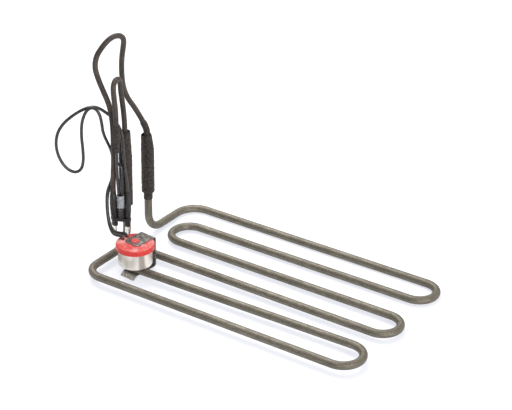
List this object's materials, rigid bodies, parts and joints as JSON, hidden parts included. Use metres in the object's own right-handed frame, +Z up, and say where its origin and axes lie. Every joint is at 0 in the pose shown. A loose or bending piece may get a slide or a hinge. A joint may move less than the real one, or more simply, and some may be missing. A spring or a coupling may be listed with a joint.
{
  "type": "heating element",
  "caption": "Flat serpentine tubular heater with upturned sleeved ends, looped leads with booted tabs, and a clip-on round temperature switch with a red cap.",
  "frame": {"origin": "on the plane of the lowest point, under the middle of the element without its wires", "axes": "X along the legs towards the outer bends, Y from the front leg to the back leg, Z up along the sleeved ends"},
  "size_m": [0.2976, 0.1526, 0.1936],
  "materials": {
    "sheath": "satin",
    "magnesia": "matte",
    "winding": "satin",
    "pin_steel": "satin",
    "seal_rubber": "matte",
    "crimp_metal": "satin",
    "sleeve_black": "satin",
    "lead_brown": "satin",
    "wire_black": "satin",
    "joint_cap_nylon": "satin",
    "boot_black": "satin",
    "tab_tin": "satin",
    "tie_nylon": "satin",
    "spring_steel": "brushed",
    "cup_aluminium": "polished",
    "cap_red": "glossy",
    "bimetal": "satin",
    "base_phenolic": "matte",
    "striker_ceramic": "matte",
    "contact_copper": "satin",
    "contact_silver": "polished"
  },
  "bodies": {
    "root": {"sheath_tube": "sheath", "magnesia_fill": "magnesia", "resistance_winding": "winding", "back_cold_pin": "pin_steel", "front_cold_pin": "pin_steel", "back_end_seal": "seal_rubber", "front_end_seal": "seal_rubber", "back_pin_crimp": "crimp_metal", "front_pin_crimp": "crimp_metal", "splice_barrel": "crimp_metal", "joint_barrel": "crimp_metal", "back_inner_sleeve": "sleeve_black", "front_inner_sleeve": "sleeve_black", "back_outer_sleeve": "sleeve_black", "front_outer_sleeve": "sleeve_black", "splice_sleeve": "sleeve_black", "long_lead": "lead_brown", "short_lead": "lead_brown", "jumper_wire": "wire_black", "splice_wire": "wire_black", "looped_wire": "wire_black", "joint_cap": "joint_cap_nylon", "long_lead_boot": "boot_black", "switch_wire_boot": "boot_black", "long_lead_tab": "tab_tin", "switch_wire_tab": "tab_tin", "cable_tie": "tie_nylon", "strap_clip": "spring_steel", "switch_cup": "cup_aluminium", "switch_cap": "cap_red", "bimetal_disc": "bimetal", "switch_base": "base_phenolic", "striker_pin": "striker_ceramic", "contact_arm": "contact_copper", "arm_post": "contact_copper", "fixed_post": "contact_copper", "arm_lug": "contact_copper", "fixed_lug": "contact_copper", "moving_contact": "contact_silver", "fixed_contact": "contact_silver"}
  },
  "joints": []
}
